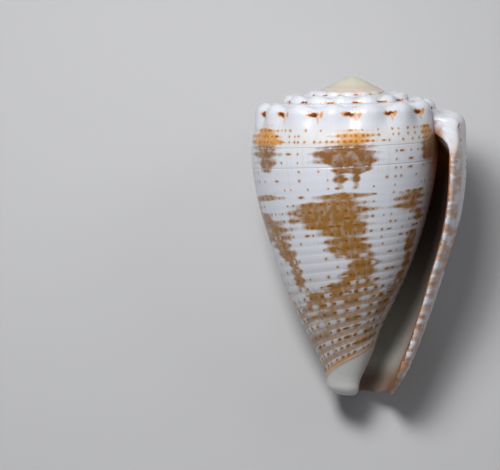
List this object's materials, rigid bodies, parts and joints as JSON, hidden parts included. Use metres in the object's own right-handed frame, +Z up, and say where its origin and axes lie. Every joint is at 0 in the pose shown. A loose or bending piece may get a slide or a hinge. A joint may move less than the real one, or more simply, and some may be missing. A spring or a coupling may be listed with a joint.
{
  "type": "cone shell",
  "caption": "Crowned cone shell lying on its back, with a knobbed shoulder, a low stepped spire and a long narrow aperture.",
  "frame": {"origin": "bottom centre of the box around the shell as it lies on its back, on the surface it rests on", "axes": "+Y along the shell towards the spire, +X towards the lip, +Z up out of the aperture side"},
  "size_m": [0.0214, 0.0312, 0.0206],
  "materials": {
    "shell": "glossy porcelain-like shell, white with golden-brown blotches and rows of dots"
  },
  "bodies": {
    "root": {"cone_shell": "shell"}
  },
  "joints": []
}
